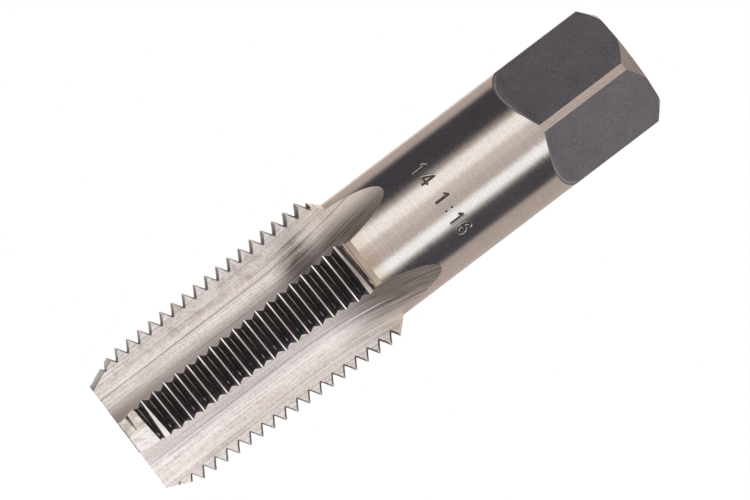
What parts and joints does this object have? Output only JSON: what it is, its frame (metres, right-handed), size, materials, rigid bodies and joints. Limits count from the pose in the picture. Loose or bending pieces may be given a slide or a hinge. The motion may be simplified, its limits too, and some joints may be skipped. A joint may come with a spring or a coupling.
{
  "type": "thread tap",
  "caption": "Right-hand taper pipe tap with straight flutes, relieved cutting teeth, a ground round shank and a square drive end.",
  "frame": {"origin": "centre of the flat nose face, on the tap's axis, where it stands", "axes": "+Z along the tap's axis from the nose to the drive end; the lands lie on X and Y, the flutes between them"},
  "size_m": [0.0218, 0.0218, 0.0794],
  "materials": {
    "steel": "ground tool steel, dark on the thread flanks and on the drive flats"
  },
  "bodies": {
    "root": {"tap": "steel"}
  },
  "joints": []
}
